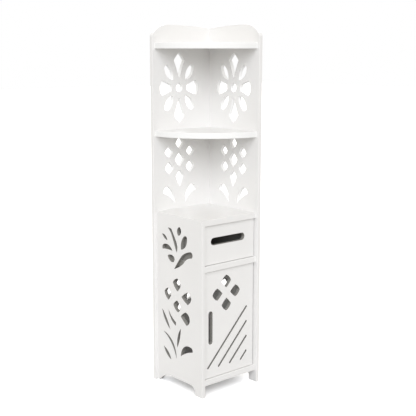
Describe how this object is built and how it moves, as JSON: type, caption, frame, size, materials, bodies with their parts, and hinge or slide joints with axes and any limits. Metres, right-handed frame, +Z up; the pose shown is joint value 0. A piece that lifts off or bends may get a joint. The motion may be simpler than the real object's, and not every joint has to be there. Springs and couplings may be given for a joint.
{
  "type": "corner bathroom shelf unit",
  "caption": "Narrow white corner unit for a bathroom: fretted back panels, quarter-round shelves, and a low cabinet with a slotted tissue drawer and a hinged door.",
  "frame": {"origin": "on the floor, under the middle of the unit's square footprint", "axes": "+Z up, -Y the way the door and the drawer face, +X and +Y towards the two walls"},
  "size_m": [0.24, 0.24, 1.119],
  "materials": {
    "white_board": "satin white foamed wood-plastic board",
    "raw_board": "raw grey foamed wood-plastic board",
    "zinc_steel": "zinc-plated steel",
    "beech_dowel": "raw beech",
    "white_nylon": "moulded nylon",
    "ferrite": "dark ceramic magnet"
  },
  "bodies": {
    "cabinet": {"left_back_panel": "white_board", "right_back_panel": "white_board", "side_panel": "white_board", "top_shelf": "white_board", "middle_shelf": "white_board", "cabinet_top": "white_board", "divider_board": "white_board", "bottom_board": "white_board", "panel_screws": "zinc_steel", "cam_bolts": "zinc_steel", "cam_locks": "zinc_steel", "dowels": "beech_dowel", "upper_hinge_bush": "white_nylon", "lower_hinge_bush": "white_nylon", "catch_body": "white_nylon", "catch_magnet": "ferrite", "catch_screws": "zinc_steel"},
    "door": {"door": "white_board", "upper_hinge_pin": "zinc_steel", "lower_hinge_pin": "zinc_steel", "strike_plate": "zinc_steel", "strike_screws": "zinc_steel"},
    "drawer": {"drawer_front": "white_board", "drawer_left_side": "raw_board", "drawer_right_side": "raw_board", "drawer_back": "raw_board", "drawer_bottom": "raw_board", "drawer_dowels": "beech_dowel", "drawer_screws": "zinc_steel"}
  },
  "joints": [
    {"name": "door_hinge", "type": "hinge", "parent": "cabinet", "child": "door", "pos_m": [0.099, -0.0985, 0.2235], "axis": [0, 0, 1], "range_deg": [0, 95]},
    {"name": "drawer_slide", "type": "slide", "parent": "cabinet", "child": "drawer", "axis": [0, -1, 0], "range_m": [0, 0.15]}
  ]
}
